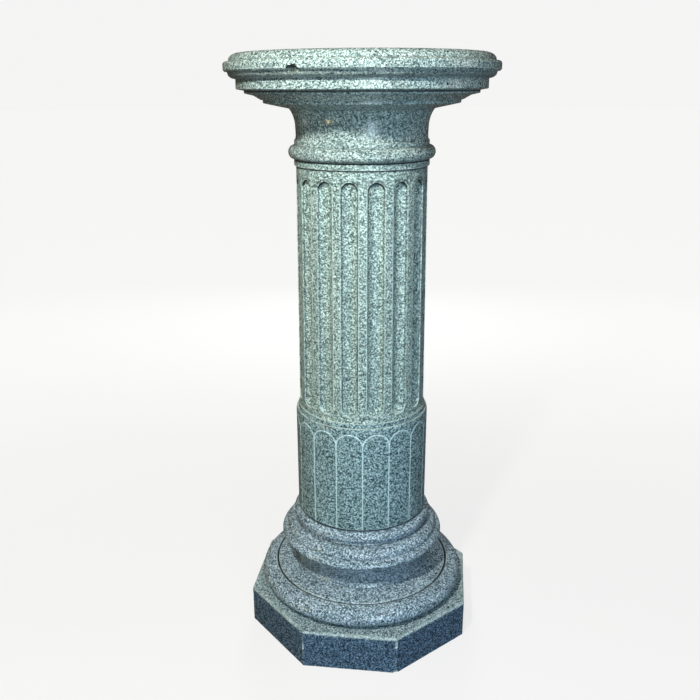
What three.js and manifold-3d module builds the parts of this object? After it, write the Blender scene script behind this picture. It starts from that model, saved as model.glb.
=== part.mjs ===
// A display column of green marble: an octagonal plinth, a turned base, a shaft with a plain arcaded drum
// under its flutes, and a round moulded capital. Millimetres, +Z up. The origin is at the middle of the
// plinth's underside.
import * as THREE from 'three';
import { mergeVertices } from 'three/addons/utils/BufferGeometryUtils.js';
import Module from 'manifold-3d';

const wasm = await Module();
wasm.setup();

// Driving sizes. The drum's radius carries the column: every other radius is a projection past it, or a
// setback from it, and every moulding has its own height.

// The dry joint between two stones, and the soft edge that wear has left on the arrises
const jointGap = 0.3;
const softArris = 1;

// Plinth
const plinthMargin = 9.2;
const plinthHeight = 72;
const plinthChamfer = 4.5;
const plinthSides = 8;

// Base: torus with a cut groove, collar, hollow, roll with a groove, ovolo, crease, bead and fillet
const torusProjection = 71.6;
const torusReach = 31;
const torusHeight = 39;
const torusGrooveInset = 27.4;
const torusGrooveWidth = 5;
const torusGrooveDepth = 4.5;
const collarProjection = 6.8;
const collarHeight = 6;
const hollowProjection = 1.8;
const hollowHeight = 52;
const hollowWaist = 24;
const rollProjection = 32.3;
const rollReach = 9;
const rollHeight = 16;
const rollWaist = 6;
const rollGrooveInset = 9.6;
const rollGrooveWidth = 3.2;
const rollGrooveDepth = 2.2;
const ovoloProjection = 6.2;
const ovoloHeight = 16;
const creaseDepth = 3;
const creaseHeight = 5.5;
const beadProjection = 8.5;
const beadReach = 11.2;
const beadHeight = 20;
const baseFilletHeight = 3.7;
const baseFilletSetback = 0.7;

// Shaft
const drumRadius = 119.2;
const drumHeight = 187.4;
const drumFootChamfer = 2.2;
const shoulderHeight = 9;
const shoulderSetback = 3;
const shaftFilletHeight = 8.2;
const shaftFilletBatter = 0.7;
const footCurveHeight = 10.6;
const footCurveReach = 1.4;
const flutedHeight = 409.5;
const shaftTaper = 3.3;
const ringHeight = 9;
const ringProjection = 3.1;

// Flutes, and the round-headed arches cut as lines in the drum, one under each flute
const fluteCount = 16;
const fluteWidth = 30;
const fluteDepth = 9;
const fluteTopMargin = 17.5;
const fluteTurn = -4.2;
const archLineWidth = 1.8;
const archLineDepth = 1;
const archCrownMargin = 0.4;

// Capital: astragal, neck, flared soffit, and the stepped mouldings under the top slab
const astragalProjection = 12.5;
const astragalHeight = 24;
const neckFilletProjection = 2.2;
const neckFilletHeight = 6;
const neckCurveHeight = 4;
const neckHeight = 19.6;
const flareReach = 28;
const flareRise = 40;
const flareSweep = 48.6;
const soffitProjection = 41.2;
const soffitRise = 8.3;
const soffitFilletHeight = 5.2;
const coveFootProjection = 3.5;
const coveProjection = 11.5;
const coveRise = 6.6;
const bandSoffitProjection = 14.3;
const bandSoffitRise = 3;
const bandFilletHeight = 4.4;
const bandProjection = 12.6;
const bandRise = 2;
const bandHeight = 15.5;
const slabFilletProjection = 12.3;
const slabFilletRise = 10.5;
const slabProjection = 6.4;
const slabHeight = 14.5;
const slabArris = 2.4;
const crownSetback = 8.5;
const crownReach = 16;
const crownHeight = 12.9;

// Roundness
const turnedSides = 36;
const shaftSides = 2 * fluteCount;
const fluteSides = 14;
const fluteEndSteps = 2;
const archSteps = 5;
const mergeDistance = 1e-4;

// Heights, from the floor up
const plinthTop = plinthHeight;
const baseFoot = plinthTop + jointGap;
const torusTop = baseFoot + torusHeight;
const collarTop = torusTop + collarHeight;
const hollowTop = collarTop + hollowHeight;
const rollTop = hollowTop + rollHeight;
const ovoloTop = rollTop + ovoloHeight;
const creaseTop = ovoloTop + creaseHeight;
const beadTop = creaseTop + beadHeight;
const baseTop = beadTop + baseFilletHeight;
const shaftFoot = baseTop + jointGap;
const drumTop = shaftFoot + drumHeight;
const shoulderTop = drumTop + shoulderHeight;
const shaftFilletTop = shoulderTop + shaftFilletHeight;
const fluteFoot = shaftFilletTop + footCurveHeight;
const ringFoot = fluteFoot + flutedHeight;
const shaftTop = ringFoot + ringHeight;
const capitalFoot = shaftTop + jointGap;
const astragalTop = capitalFoot + astragalHeight;
const neckFilletTop = astragalTop + neckFilletHeight;
const neckTop = neckFilletTop + neckHeight;
const flareTop = neckTop + flareRise * Math.sin(THREE.MathUtils.degToRad(flareSweep));
const soffitTop = flareTop + soffitRise;
const soffitFilletTop = soffitTop + soffitFilletHeight;
const coveTop = soffitFilletTop + coveRise;
const bandSoffitTop = coveTop + bandSoffitRise;
const bandFilletTop = bandSoffitTop + bandFilletHeight;
const bandFoot = bandFilletTop + bandRise;
const bandTop = bandFoot + bandHeight;
const slabFoot = bandTop + slabFilletRise;
const slabTop = slabFoot + slabHeight;

// Radii, from the drum outwards, and from the drum in and up to the capital
const torusRadius = drumRadius + torusProjection;
const collarRadius = drumRadius + collarProjection;
const hollowRadius = drumRadius + hollowProjection;
const rollRadius = drumRadius + rollProjection;
const ovoloRadius = drumRadius + ovoloProjection;
const beadRadius = drumRadius + beadProjection;
const shaftFilletRadius = drumRadius - shoulderSetback - softArris;
const footCurveRadius = shaftFilletRadius - shaftFilletBatter - softArris;
const shaftFootRadius = footCurveRadius - footCurveReach;
const shaftTopRadius = shaftFootRadius - shaftTaper;
const ringRadius = shaftTopRadius + ringProjection;
const neckFilletRadius = shaftTopRadius + neckFilletProjection;
const astragalRadius = shaftTopRadius + astragalProjection;
const flareRadius = shaftTopRadius + flareReach * (1 - Math.cos(THREE.MathUtils.degToRad(flareSweep)));
const soffitRadius = flareRadius + soffitProjection;
const coveFootRadius = soffitRadius + coveFootProjection;
const coveRadius = coveFootRadius + coveProjection;
const bandFilletRadius = coveRadius + bandSoffitProjection;
const bandRadius = bandFilletRadius + bandProjection;
const slabFilletRadius = bandRadius + slabFilletProjection;
const slabRadius = slabFilletRadius + slabProjection;
const crownRadius = slabRadius - crownSetback;
const flutePitch = (2 * Math.PI) / fluteCount;

const at = (radius, height) => new THREE.Vector2(radius, height);

// Part of an ellipse round a centre: 0 degrees points away from the axis, and 90 degrees points up.
function arc(centre, reach, rise, fromDegrees, toDegrees, steps) {
  const points = [];
  for (let i = 0; i <= steps; i += 1) {
    const angle = THREE.MathUtils.degToRad(fromDegrees + ((toDegrees - fromDegrees) * i) / steps);
    points.push(at(centre.x + reach * Math.cos(angle), centre.y + rise * Math.sin(angle)));
  }
  return points;
}

// A V groove from one lip to the other, sunk square to the line between them
function groove(from, to, depth) {
  const along = to.clone().sub(from).normalize();
  const inward = at(-along.y, along.x);
  const bottom = from.clone().add(to).multiplyScalar(0.5).addScaledVector(inward, depth);
  return [from, bottom, to];
}

// One closed surface: corners that coincide are joined, and slivers at the axis are dropped.
function closed(geometry) {
  geometry.deleteAttribute('normal');
  geometry.deleteAttribute('uv');
  const merged = mergeVertices(geometry, mergeDistance);
  const corners = merged.index.array;
  const kept = [];
  for (let i = 0; i < corners.length; i += 3) {
    const [a, b, c] = corners.slice(i, i + 3);
    if (a !== b && b !== c && c !== a) {
      kept.push(a, b, c);
    }
  }
  merged.setIndex(kept);
  return merged;
}

// An outline from foot to top, closed to the axis at both ends and turned round +Z
function turned(outline, sides = turnedSides, start = 0) {
  const foot = at(0, outline[0].y);
  const top = at(0, outline[outline.length - 1].y);
  const geometry = new THREE.LatheGeometry([foot, ...outline, top], sides, start);
  geometry.rotateX(Math.PI / 2);
  return closed(geometry);
}

function toSolid(geometry) {
  const mesh = new wasm.Mesh({
    numProp: 3,
    vertProperties: Float32Array.from(geometry.attributes.position.array),
    triVerts: Uint32Array.from(geometry.index.array),
  });
  return new wasm.Manifold(mesh);
}

function toGeometry(solid) {
  const mesh = solid.getMesh();
  const geometry = new THREE.BufferGeometry();
  geometry.setAttribute('position', new THREE.BufferAttribute(Float32Array.from(mesh.vertProperties), 3));
  geometry.setIndex(Array.from(mesh.triVerts));
  return geometry;
}

function joined(solids) {
  return solids.reduce((whole, next) => whole.add(next));
}

// An eight-sided block, wide enough for the torus, with its top arris taken off
function plinth() {
  const flatToCorner = 1 / Math.cos(Math.PI / plinthSides);
  const side = torusRadius + plinthMargin;
  const outline = [
    at(side * flatToCorner, 0),
    at(side * flatToCorner, plinthTop - plinthChamfer),
    at((side - plinthChamfer) * flatToCorner, plinthTop),
  ];
  return turned(outline, plinthSides, Math.PI / plinthSides);
}

// The torus: its round side, the groove cut in its top, and the rise to the collar
function torusOutline() {
  const centre = at(torusRadius - torusReach, baseFoot + torusHeight / 2);
  const outerLip = torusRadius - torusGrooveInset + torusGrooveWidth / 2;
  const lipAngle = THREE.MathUtils.radToDeg(Math.acos((outerLip - centre.x) / torusReach));
  const round = arc(centre, torusReach, torusHeight / 2, -80, lipAngle, 7);
  const innerLip = at(outerLip - torusGrooveWidth, torusTop);
  return [...round.slice(0, -1), ...groove(round.at(-1), innerLip, torusGrooveDepth)];
}

// The hollow above the collar: drawn in to its waist, and out again under the roll
function hollowOutline() {
  const rollFootRadius = rollRadius - rollReach;
  const topReach = rollFootRadius - hollowRadius;
  const waist = collarTop + hollowWaist;
  const low = arc(at(collarRadius, waist), collarRadius - hollowRadius, hollowWaist, 270, 180, 2);
  const high = arc(at(rollFootRadius, waist), topReach, hollowHeight - hollowWaist, 180, 90, 4);
  return [...low, ...high.slice(1)];
}

function rollOutline() {
  const waist = at(rollRadius - rollReach, hollowTop + rollWaist);
  const under = arc(waist, rollReach, rollWaist, -60, 0, 2);
  const lip = at(rollRadius - rollGrooveInset + rollGrooveWidth / 2, rollTop - rollGrooveWidth / 2);
  const overCentre = at(rollRadius - rollGrooveInset, waist.y);
  const overRise = lip.y - waist.y;
  const over = arc(overCentre, rollGrooveInset, overRise, 25, 70, 2);
  return [...under, ...over, at(rollRadius - rollGrooveInset - rollGrooveDepth, rollTop)];
}

// The ovolo from the roll's groove up to its arris, then in to the crease under the bead
function ovoloOutline() {
  const foot = rollTop + rollGrooveWidth / 2;
  const footReach = rollRadius - rollGrooveInset - ovoloRadius;
  const curve = arc(at(ovoloRadius, foot), footReach, ovoloTop - foot, 0, 90, 4);
  return [...curve, at(ovoloRadius - creaseDepth, creaseTop)];
}

function base() {
  const beadCentre = at(beadRadius - beadReach, creaseTop + beadHeight / 2);
  const filletRadius = drumRadius - baseFilletSetback;
  return turned([
    ...torusOutline(),
    ...hollowOutline(),
    ...rollOutline(),
    ...ovoloOutline(),
    ...arc(beadCentre, beadReach, beadHeight / 2, -50, 75, 5),
    at(filletRadius, beadTop),
    at(filletRadius, baseTop),
  ]);
}

function shaftOutline() {
  const shoulderCentre = at(drumRadius - shoulderSetback, drumTop);
  const curveCentre = at(shaftFootRadius + footCurveReach, fluteFoot);
  return [
    at(drumRadius - drumFootChamfer, shaftFoot),
    at(drumRadius, shaftFoot + drumFootChamfer),
    ...arc(shoulderCentre, shoulderSetback, shoulderHeight, 0, 90, 3),
    at(shaftFilletRadius, shoulderTop),
    at(shaftFilletRadius - shaftFilletBatter, shaftFilletTop),
    ...arc(curveCentre, footCurveReach, footCurveHeight, 270, 180, 2),
    at(shaftTopRadius, ringFoot),
    at(ringRadius, ringFoot),
    at(ringRadius, shaftTop - softArris),
    at(ringRadius - softArris, shaftTop),
  ];
}

function radiusOfShaft(height) {
  return shaftFootRadius - (shaftTaper * (height - fluteFoot)) / flutedHeight;
}

// A round-ended cutter that leans with the taper and sinks a flute of the stated width and depth
function fluteCutter(turn) {
  const sectionRadius = (fluteWidth ** 2 / 4 + fluteDepth ** 2) / (2 * fluteDepth);
  const low = fluteFoot + fluteWidth / 2;
  const high = ringFoot - fluteTopMargin - fluteWidth / 2;
  const middle = (low + high) / 2;
  const lean = Math.atan2(radiusOfShaft(low) - radiusOfShaft(high), high - low);
  const geometry = new THREE.CapsuleGeometry(sectionRadius, high - low, fluteEndSteps, fluteSides);
  geometry.rotateX(Math.PI / 2);
  geometry.rotateY(-lean);
  geometry.translate(radiusOfShaft(middle) + sectionRadius - fluteDepth, 0, middle);
  geometry.rotateZ(turn);
  return toSolid(closed(geometry));
}

// An arch is as wide as the flutes' pitch, so its sides are the lines that it shares with its neighbours.
function archPlan() {
  const radius = drumRadius * Math.sin(flutePitch / 2);
  const springing = drumTop - archCrownMargin - archLineWidth / 2 - radius;
  return { radius, springing };
}

// The head of one arch: half a flat ring that stands across the drum's surface
function archHeadCutter(turn) {
  const { radius, springing } = archPlan();
  const band = new THREE.Shape();
  band.absarc(0, 0, radius + archLineWidth / 2, 0, Math.PI, false);
  band.absarc(0, 0, radius - archLineWidth / 2, Math.PI, 0, true);
  const settings = { depth: radius, bevelEnabled: false, curveSegments: archSteps };
  const geometry = new THREE.ExtrudeGeometry(band, settings);
  const across = new THREE.Vector3(0, 1, 0);
  const up = new THREE.Vector3(0, 0, 1);
  const outward = new THREE.Vector3(1, 0, 0);
  geometry.applyMatrix4(new THREE.Matrix4().makeBasis(across, up, outward));
  geometry.translate(drumRadius - radius / 2, 0, springing);
  geometry.rotateZ(turn);
  return toSolid(closed(geometry));
}

// The upright line between two arches, from the drum's foot to their springing
function archSideCutter(turn) {
  const { radius, springing } = archPlan();
  const foot = shaftFoot + drumFootChamfer;
  const top = springing + archLineWidth;
  const geometry = new THREE.BoxGeometry(radius, archLineWidth, top - foot);
  geometry.translate(drumRadius, 0, (foot + top) / 2);
  geometry.rotateZ(turn + flutePitch / 2);
  return toSolid(closed(geometry));
}

// The heart of the drum, which no arch line reaches
function drumHeart() {
  const radius = drumRadius - archLineDepth;
  return toSolid(turned([at(radius, shaftFoot), at(radius, shoulderTop)], shaftSides));
}

function shaft() {
  const turns = Array.from({ length: fluteCount }, (unused, i) => i * flutePitch);
  const flutes = joined(turns.map(fluteCutter));
  const lines = joined([...turns.map(archHeadCutter), ...turns.map(archSideCutter)]);
  const body = toSolid(turned(shaftOutline(), shaftSides));
  return toGeometry(body.subtract(flutes).subtract(lines.subtract(drumHeart())));
}

// Half-round astragal, its fillet, the neck, and the flare that spreads under the soffit
function neckOutline() {
  const half = astragalHeight / 2;
  const astragalCentre = at(neckFilletRadius, capitalFoot + half);
  return [
    at(neckFilletRadius, capitalFoot),
    ...arc(astragalCentre, astragalRadius - neckFilletRadius, half - softArris, -80, 90, 6),
    at(neckFilletRadius, neckFilletTop),
    at(shaftTopRadius, neckFilletTop + neckCurveHeight),
    ...arc(at(shaftTopRadius + flareReach, neckTop), flareReach, flareRise, 180, 180 - flareSweep, 4),
  ];
}

// A small upright fillet whose foot has lost its arris
function fillet(radius, foot, top) {
  return [at(radius - softArris, foot), at(radius, foot + softArris), at(radius, top)];
}

function capital() {
  const slabFilletCentre = at(bandRadius, slabFoot - softArris);
  const slabFilletCurve = slabFilletRise - softArris;
  const crownCentre = at(crownRadius - crownReach, slabTop + softArris);
  return turned([
    ...neckOutline(),
    ...fillet(soffitRadius, soffitTop, soffitFilletTop),
    at(coveFootRadius, soffitFilletTop),
    at(coveRadius, coveTop),
    ...fillet(bandFilletRadius, bandSoffitTop, bandFilletTop),
    ...fillet(bandRadius, bandFoot, bandTop),
    ...arc(slabFilletCentre, slabFilletProjection, slabFilletCurve, -75, 0, 3),
    at(slabFilletRadius, slabFoot),
    at(slabRadius - slabArris, slabFoot),
    at(slabRadius, slabFoot + slabArris),
    at(slabRadius, slabTop - slabArris),
    at(slabRadius - slabArris, slabTop),
    ...arc(crownCentre, crownReach, crownHeight - softArris, 0, 90, 4),
  ]);
}

function piece(name, geometry, colour) {
  const marble = new THREE.MeshStandardMaterial({ color: colour, roughness: 0.25, metalness: 0 });
  const mesh = new THREE.Mesh(geometry, marble);
  mesh.name = name;
  return mesh;
}

const column = new THREE.Group();
column.add(piece('octagonal_plinth', plinth(), 0x5f7a80));
column.add(piece('turned_base', base(), 0x7d9591));
const flutedShaft = piece('fluted_shaft', shaft(), 0x6f8a88);
flutedShaft.rotation.z = THREE.MathUtils.degToRad(fluteTurn);
column.add(flutedShaft);
column.add(piece('capital', capital(), 0x86a09a));

export default column;
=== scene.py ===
# %% [markdown]
# # A fluted display column in green marble
# Four stones stand on one another: an eight-sided plinth, a turned base, a fluted shaft and a turned capital.
# The CAD model holds their sizes. This lesson gives each stone its fine surface, the wear of its arrises and
# its polished, speckled finish, and lights it as a plain studio would.

# %% Load the frame
import bpy
import math
import random
from mathutils import Matrix, Vector, noise
from mathutils.kdtree import KDTree


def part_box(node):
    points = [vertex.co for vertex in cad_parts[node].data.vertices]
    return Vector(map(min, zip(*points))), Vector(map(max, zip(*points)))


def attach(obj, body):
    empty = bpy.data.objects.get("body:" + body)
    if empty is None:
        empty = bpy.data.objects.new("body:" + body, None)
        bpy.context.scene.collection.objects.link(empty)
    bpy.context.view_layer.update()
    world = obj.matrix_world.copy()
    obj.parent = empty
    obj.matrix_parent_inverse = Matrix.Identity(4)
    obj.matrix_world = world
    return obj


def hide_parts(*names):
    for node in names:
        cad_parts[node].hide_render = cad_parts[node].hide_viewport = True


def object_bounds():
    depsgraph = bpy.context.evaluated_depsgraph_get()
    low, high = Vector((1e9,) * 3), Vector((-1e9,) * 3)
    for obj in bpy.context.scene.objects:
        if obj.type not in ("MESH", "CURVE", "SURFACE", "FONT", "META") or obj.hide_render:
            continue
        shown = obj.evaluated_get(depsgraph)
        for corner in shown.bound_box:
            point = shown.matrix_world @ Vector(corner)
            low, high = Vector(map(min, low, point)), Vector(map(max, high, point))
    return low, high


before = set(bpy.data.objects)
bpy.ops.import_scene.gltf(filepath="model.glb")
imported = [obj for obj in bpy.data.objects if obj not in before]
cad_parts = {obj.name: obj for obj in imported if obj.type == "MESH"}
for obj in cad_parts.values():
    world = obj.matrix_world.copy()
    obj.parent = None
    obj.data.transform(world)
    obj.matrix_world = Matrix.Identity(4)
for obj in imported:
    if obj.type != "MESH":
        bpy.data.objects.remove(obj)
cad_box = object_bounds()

MM = 0.001
print("CAD box", [tuple(round(value, 4) for value in corner) for corner in cad_box])

# %% [markdown]
# ## Small helpers
# Every stone is made the same way, so a few helpers come first. Nothing may be selected when a new primitive
# is added, because an edit-mode operator acts on all that is selected.

# %% Helpers for selecting and finishing
def start_clean():
    """Leaves edit mode with nothing selected."""
    if bpy.context.mode != "OBJECT":
        bpy.ops.object.mode_set(mode="OBJECT")
    bpy.ops.object.select_all(action="DESELECT")


def activate(piece):
    start_clean()
    piece.select_set(True)
    bpy.context.view_layer.objects.active = piece


def apply_modifier(piece, kind, name, **settings):
    """Adds a modifier, sets it and applies it."""
    activate(piece)
    modifier = piece.modifiers.new(name, kind)
    for key, value in settings.items():
        setattr(modifier, key, value)
    bpy.ops.object.modifier_apply(modifier=modifier.name)


def apply_place(piece):
    """Moves the piece's place into its mesh."""
    activate(piece)
    bpy.ops.object.transform_apply(location=True, rotation=True, scale=True)


def cut(piece, cutters):
    """Cuts the cutters away. The cut faces take the cutters' material."""
    for cutter in cutters:
        apply_modifier(piece, "BOOLEAN", "cut", operation="DIFFERENCE", solver="EXACT",
                       material_mode="TRANSFER", object=cutter)
        bpy.data.objects.remove(cutter)


def joined(pieces):
    """One object out of several."""
    start_clean()
    for piece in pieces:
        piece.select_set(True)
    bpy.context.view_layer.objects.active = pieces[0]
    bpy.ops.object.join()
    return pieces[0]


def turned_copies(piece, turns):
    """The piece and its copies, turned about the column's axis and joined into one object."""
    copies = []
    for turn in turns:
        copy = piece.copy()
        copy.data = piece.data.copy()
        copy.data.transform(Matrix.Rotation(turn, 4, "Z"))
        bpy.context.collection.objects.link(copy)
        copies.append(copy)
    return joined(copies)


# %% [markdown]
# ## Outlines
# A turned stone is its outline, spun about the axis. The CAD solid already holds that outline as a row of
# points, with a few straight steps for each curve. The fine outline is worked out from it: a gentle bend is
# a point on a curve, and a sharp one is an arris or a crease.

# %% Read the outline of a turned CAD solid
IN_PLANE = 1e-5


def cad_outline(node):
    """The (radius, height) points of a turned CAD solid in the half-plane towards -Y, from foot to top."""
    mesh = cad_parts[node].data

    def in_plane(point):
        return abs(point.x) < IN_PLANE and point.y < IN_PLANE

    def key(point):
        return (round(-point.y, 6), round(point.z, 6))

    links = {}
    for face in mesh.polygons:
        corners = [mesh.vertices[i].co for i in face.vertices]
        for one, other in zip(corners, corners[1:] + corners[:1]):
            if in_plane(one) and in_plane(other):
                links.setdefault(key(one), set()).add(key(other))
                links.setdefault(key(other), set()).add(key(one))
    ends = [point for point, others in links.items() if len(others) == 1]
    walk = [min(ends, key=lambda point: point[1])]
    while True:
        onward = [point for point in links[walk[-1]] if point not in walk]
        if not onward:
            break
        walk.append(onward[0])
    return [Vector(point) for point in walk]


cad_outlines = {node: cad_outline(node) for node in ("turned_base", "capital")}
print("points of the CAD outlines:", {node: len(points) for node, points in cad_outlines.items()})

# %% [markdown]
# A bend of less than SMOOTH_TURN lies on a curve, and one of less than STRAIGHT_TURN is as good as straight.
# A stretch that is much longer than its neighbour is straight too: a curve through it would swing out past
# the stone.

# %% Refine an outline
SMOOTH_TURN = math.radians(40)
STRAIGHT_TURN = math.radians(3)
LONG_SHARE = 3.5
CURVE_STEPS = 4


def turn_at(points, i):
    """The signed turn at a point: positive on an outward arris, negative in a crease."""
    if i in (0, len(points) - 1):
        return 0.0
    before = points[i] - points[i - 1]
    after = points[i + 1] - points[i]
    cross = before.x * after.y - before.y * after.x
    return math.atan2(cross, before.dot(after))


def curved(points):
    """The outline with its gentle bends as smooth curves through the points."""
    bends = [turn_at(points, i) for i in range(len(points))]
    last = len(points) - 1
    sharp = [i in (0, last) or abs(bends[i]) > SMOOTH_TURN for i in range(len(points))]
    fine = [points[0]]
    for i in range(last):
        here, there = points[i], points[i + 1]
        before = here * 2 - there if sharp[i] else points[i - 1]
        after = there * 2 - here if sharp[i + 1] else points[i + 2]
        bending = max(0 if sharp[j] else abs(bends[j]) for j in (i, i + 1))
        beside = min((here - before).length, (after - there).length)
        is_straight = bending < STRAIGHT_TURN or (there - here).length > LONG_SHARE * beside
        count = 1 if is_straight else CURVE_STEPS
        for step in range(1, count + 1):
            fine.append(on_curve(before, here, there, after, step / count))
    return fine


def on_curve(before, here, there, after, share):
    """A point between here and there on the curve through all four, spaced by the root of their distances."""
    knots = [0.0]
    for one, other in ((before, here), (here, there), (there, after)):
        knots.append(knots[-1] + math.sqrt((other - one).length))
    at = knots[1] + (knots[2] - knots[1]) * share

    def blend(one, other, low, high):
        return one * ((knots[high] - at) / (knots[high] - knots[low])) + \
            other * ((at - knots[low]) / (knots[high] - knots[low]))

    first, second, third = blend(before, here, 0, 1), blend(here, there, 1, 2), blend(there, after, 2, 3)
    return blend(blend(first, second, 0, 2), blend(second, third, 1, 3), 1, 2)


print("points of the curved outlines:", {node: len(curved(points)) for node, points in cad_outlines.items()})

# %% [markdown]
# Old polished stone shows pale where its arrises were rubbed, and dark where dust and wax gather in the
# creases; the darkening in the creases is also painted shade. Each point of the outline therefore carries a
# wear and shade value, from 1 on an arris to -1 in a crease, and the marble reads it later as a mesh
# attribute. It fades out over a reach, which is never more than a share of the straight beside it. A tiny
# step holds little dust or shade, and a narrow groove is dark all through.

# %% Soften the arrises and give each point its wear and painted shade
ARRIS_RADIUS = 0.7 * MM
ARRIS_SHARE = 0.4
RUBBED_REACH = 2 * MM
RUBBED_SHARE = 0.3
# The darkening in creases is dust and painted shade.
CREASE_DUST_AND_SHADE_REACH = 4.5 * MM
CREASE_DUST_AND_SHADE_SHARE = 0.65
DEEP_CREASE = 3.5 * MM
NARROW_GROOVE = 7 * MM
GROOVE_SHARE = 0.6
FULL_WEAR_TURN = math.radians(70)


def softened(points):
    """A list of (point, wear and shade): corners become small curves, and the value fades out beside them."""
    result = [(points[0], 0.0)]
    for i in range(1, len(points) - 1):
        bend = turn_at(points, i)
        if abs(bend) < SMOOTH_TURN / 2:
            result.append((points[i], 0.0))
            continue
        wear_and_shade = max(-1.0, min(1.0, bend / FULL_WEAR_TURN))
        arms = [points[i - 1] - points[i], points[i + 1] - points[i]]
        if wear_and_shade < 0:
            wear_and_shade *= min(1.0, min(arm.length for arm in arms) / DEEP_CREASE)
        cuts = [arm.normalized() * min(ARRIS_RADIUS, ARRIS_SHARE * arm.length) for arm in arms]
        reach, most = (RUBBED_REACH, RUBBED_SHARE) if wear_and_shade > 0 else (CREASE_DUST_AND_SHADE_REACH, CREASE_DUST_AND_SHADE_SHARE)
        fades = [arm.normalized() * min(reach, most * arm.length) for arm in arms]
        edges = [GROOVE_SHARE * wear_and_shade if wear_and_shade < 0 and arm.length < NARROW_GROOVE else 0.0 for arm in arms]
        result.append((points[i] + fades[0], edges[0]))
        for share in (0.0, 0.5, 1.0):
            pull = cuts[0] * (1 - share) ** 2 + cuts[1] * share ** 2
            result.append((points[i] + pull, wear_and_shade))
        result.append((points[i] + fades[1], edges[1]))
    return result + [(points[-1], 0.0)]


# %% [markdown]
# ## Spinning
# On the lathe a stone turns against a cutter. Here one vertex is extruded along the outline, and the Spin
# tool carries that wire round the axis. It could also be a Screw modifier on a curve, but a spun mesh is
# ready to be cut and chipped.

# %% Spin an outline round the axis
TURNED_STEPS = 256
MERGE = 1e-6


def spun(name, outline, steps=TURNED_STEPS):
    """A closed turned solid. The outline starts and ends on the axis."""
    start_clean()
    bpy.ops.mesh.primitive_plane_add(size=MM)
    piece = bpy.context.object
    piece.name = piece.data.name = name
    bpy.ops.object.mode_set(mode="EDIT")
    bpy.ops.mesh.merge(type="CENTER")
    at = Vector((0.0, 0.0))
    for i, point in enumerate(outline):
        move = {"value": (point.x - at.x, 0, point.y - at.y)}
        if i == 0:
            bpy.ops.transform.translate(**move)
        else:
            bpy.ops.mesh.extrude_region_move(TRANSFORM_OT_translate=move)
        at = point
    bpy.ops.mesh.select_all(action="SELECT")
    bpy.ops.mesh.spin(steps=steps, angle=math.tau, center=(0, 0, 0), axis=(0, 0, 1))
    bpy.ops.mesh.select_all(action="SELECT")
    bpy.ops.mesh.remove_doubles(threshold=MERGE)
    bpy.ops.mesh.normals_make_consistent(inside=False)
    bpy.ops.object.mode_set(mode="OBJECT")
    return piece


# %% [markdown]
# ## Wear and painted shade along the outline
# Some marks are added to the outline before it is spun: dust and painted shade at the joints, painted shade
# in a hollow and under the slab, and a thin rubbed line where a ledge has been touched. A painted mask could
# hold them, but they follow the lathe's own circles. After the cuts, each vertex takes the wear and painted
# shade of the nearest point of the outline.

# %% Add dust, painted shade and worn lines to an outline
WORN_LINE_REACH = 1.2 * MM
LEAST_STEP = 0.1 * MM


def with_dust_and_shade_at_ends(outline_with_wear, reach, joint_on_top=True):
    """Dust gathers in the joints and shade is painted there, so the skin within reach of the end faces that
    meet a stone is dark.
    """
    low, high = outline_with_wear[0][0].y, outline_with_wear[-1][0].y
    dark = []
    for point, wear_and_shade in outline_with_wear:
        from_joint = min(point.y - low, high - point.y) if joint_on_top else point.y - low
        nearness = max(0.0, 1 - from_joint / reach)
        dark.append((point, wear_and_shade * (1 - nearness) - nearness))
    return dark


def with_painted_shade_band(outline_with_wear, low, high, depth):
    """Paints shade: darkens the skin between two heights."""
    return [(point, wear_and_shade - depth if low < point.y < high else wear_and_shade) for point, wear_and_shade in outline_with_wear]


def with_worn_line(outline_with_wear, height):
    """A thin rubbed line runs round the stone at that height."""
    stops = ((height - WORN_LINE_REACH, 0.0), (height, 1.0), (height + WORN_LINE_REACH, 0.0))
    lined = []
    for (start, wear_and_shade), (end, _) in zip(outline_with_wear, outline_with_wear[1:]):
        lined.append((start, 1.0 if abs(start.y - height) < WORN_LINE_REACH / 2 else wear_and_shade))
        for stop, strength in stops:
            if start.y + LEAST_STEP < stop < end.y - LEAST_STEP:
                lined.append((start.lerp(end, (stop - start.y) / (end.y - start.y)), strength))
    return lined + [outline_with_wear[-1]]


# %% Write the wear and painted shade onto a stone
def wear_and_shade_along(outline_with_wear):
    """A function that gives the wear and painted shade of the outline's nearest point."""
    tree = KDTree(len(outline_with_wear))
    for i, (point, _) in enumerate(outline_with_wear):
        tree.insert((point.x, point.y, 0), i)
    tree.balance()

    def wear_and_shade_at(place):
        _, i, _ = tree.find((math.hypot(place.x, place.y), place.z, 0))
        return outline_with_wear[i][1]

    return wear_and_shade_at


def write_attribute(piece, name, value_at):
    """Gives each vertex the value of a function of its place. None leaves it at nought."""
    attribute = piece.data.attributes.new(name, "FLOAT", "POINT")
    for vertex in piece.data.vertices:
        value = value_at(vertex.co)
        if value is not None:
            attribute.data[vertex.index].value = value


# %% [markdown]
# ## The marble
# The stone is a dense green serpentine marble: a grey-green ground, crowded with dark green and pale mint
# crystals a millimetre or two wide. Each crystal is a cell of a Voronoi pattern with a random shade, and
# soft noise gathers them into faint clouds. Photographs of stone could be wrapped round it, but a pattern in
# the object's own space runs through the solid as real crystals do, with no seam. Where an arris is rubbed,
# and where light is painted at the flutes' feet, the crystals turn paler; where dust gathers in a crease, and
# where shade is painted, they turn dark. The ramp's shades are multiples of the ground colour.

# %% Node helpers
def add_node(tree, kind, inputs=None, **settings):
    node = tree.nodes.new(kind)
    for key, value in settings.items():
        setattr(node, key, value)
    for key, value in (inputs or {}).items():
        if isinstance(value, bpy.types.NodeSocket):
            tree.links.new(value, node.inputs[key])
        else:
            node.inputs[key].default_value = value
    return node


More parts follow.
